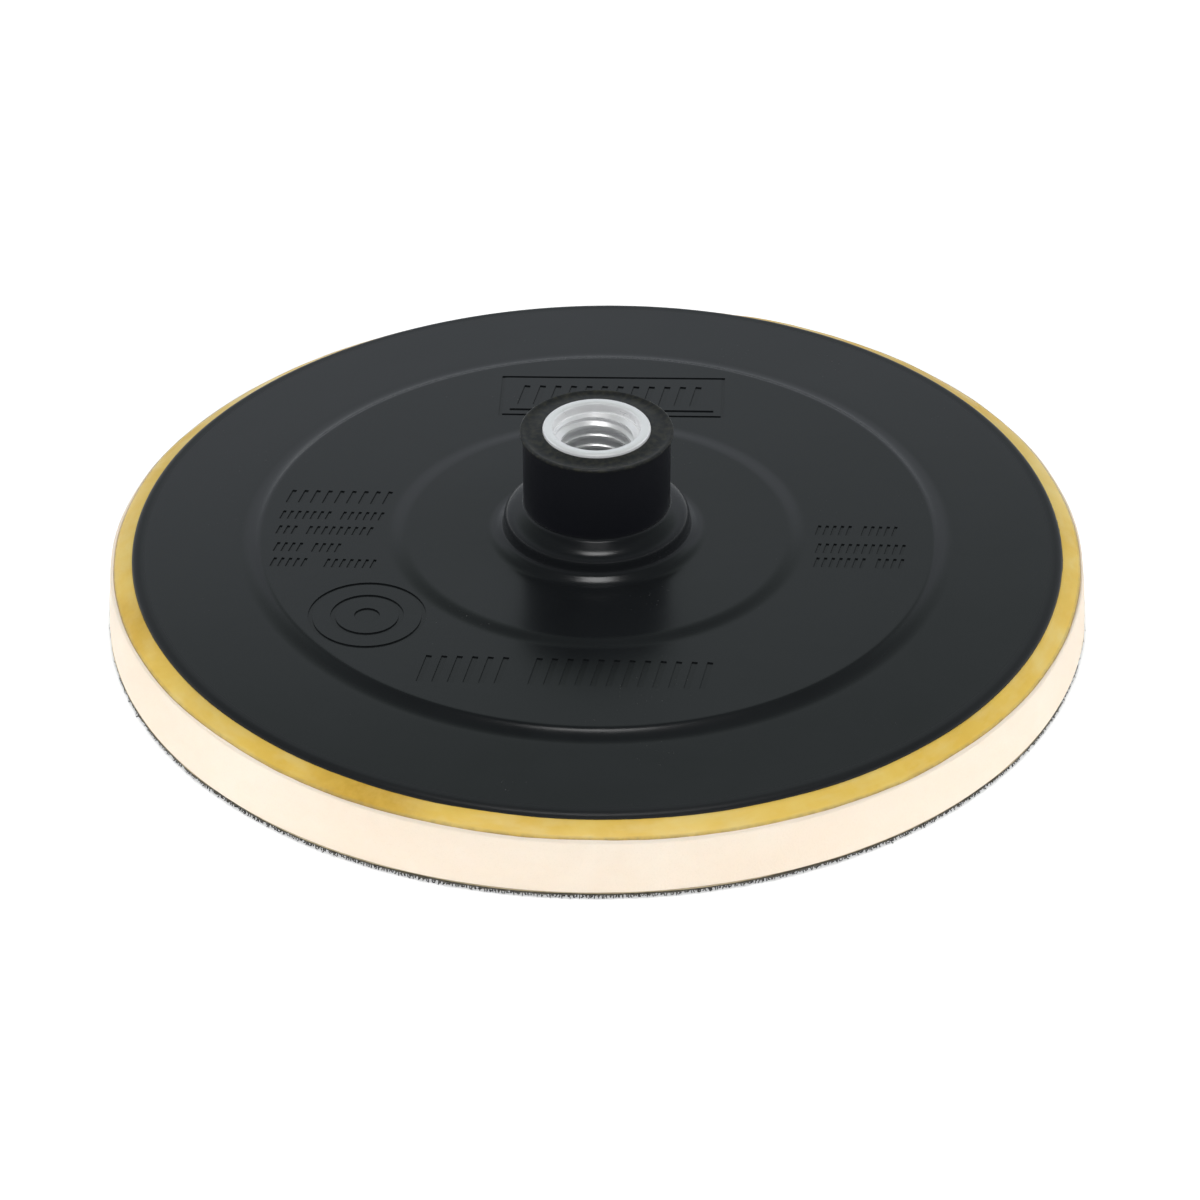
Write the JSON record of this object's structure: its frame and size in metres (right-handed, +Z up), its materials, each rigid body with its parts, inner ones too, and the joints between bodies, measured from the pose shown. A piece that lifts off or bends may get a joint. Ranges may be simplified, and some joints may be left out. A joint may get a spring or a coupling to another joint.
{
  "type": "rotary polisher backing pad",
  "caption": "Round hook-and-loop backing pad for a rotary polisher: black moulded plate with a threaded metal insert in its hub, on a foam disc with a nylon hook face.",
  "frame": {"origin": "centre of the hook face, on the plane the pad rests on", "axes": "+Z up the spindle axis, from the hook face to the mouth of the threaded insert; X and Y are equal by symmetry"},
  "size_m": [0.165, 0.165, 0.0351],
  "materials": {
    "insert_metal": "bright turned",
    "plate_plastic": "satin moulded",
    "bond_yellow": "cured bond layer, satin",
    "foam_cream": "fine closed foam, matte",
    "glue_film": "cured glue film",
    "hook_fabric": "woven nylon",
    "hook_nylon": "nylon monofilament"
  },
  "bodies": {
    "root": {"threaded_insert": "insert_metal", "backing_plate": "plate_plastic", "bond_layer": "bond_yellow", "foam_disc": "foam_cream", "hook_glue_film": "glue_film", "hook_ground": "hook_fabric", "hook_pile": "hook_nylon"}
  },
  "joints": []
}
